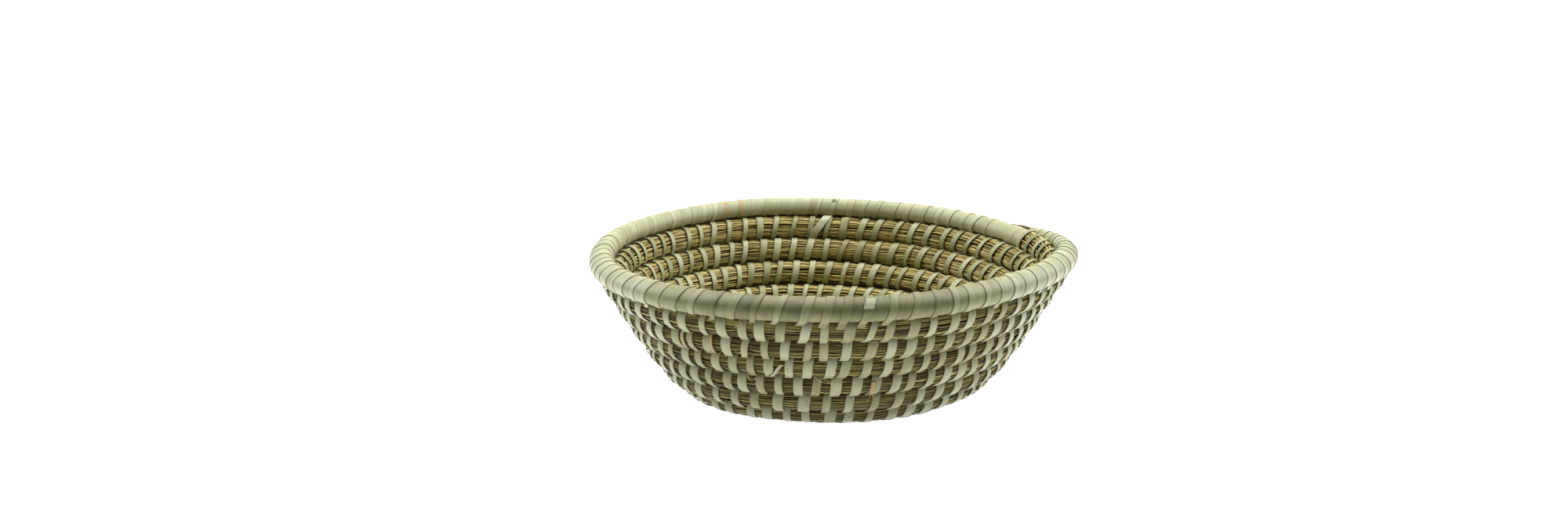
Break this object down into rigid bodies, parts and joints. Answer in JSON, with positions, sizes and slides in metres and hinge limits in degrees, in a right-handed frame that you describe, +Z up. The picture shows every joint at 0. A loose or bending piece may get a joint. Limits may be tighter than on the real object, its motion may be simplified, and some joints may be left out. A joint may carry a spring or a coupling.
{
  "type": "coiled grass basket",
  "caption": "Round open basket bowl coiled from one bundle of dry grass, sewn row to row with pale palm strips, with a flaring wall, a flat foot and a closely bound rim.",
  "frame": {"origin": "middle of the box round the basket, on the surface that it stands on", "axes": "+Z up, out of the bowl's mouth; +X to the right and +Y away from the viewer in the pictured view"},
  "size_m": [0.2708, 0.2704, 0.0873],
  "materials": {
    "dry_grass": "dry matt grass stems",
    "palm_strip": "dry satin palm leaf strip"
  },
  "bodies": {
    "root": {"start_knot": "dry_grass", "grass_coil": "dry_grass", "sewing_strip_01": "palm_strip", "sewing_strip_02": "palm_strip", "sewing_strip_03": "palm_strip", "sewing_strip_04": "palm_strip", "sewing_strip_05": "palm_strip", "sewing_strip_06": "palm_strip", "sewing_strip_07": "palm_strip", "sewing_strip_08": "palm_strip", "sewing_strip_09": "palm_strip", "sewing_strip_10": "palm_strip", "sewing_strip_11": "palm_strip", "strip_tail_01": "palm_strip", "strip_tail_02": "palm_strip", "strip_tail_03": "palm_strip", "strip_tail_04": "palm_strip", "rim_binding": "palm_strip"}
  },
  "joints": []
}
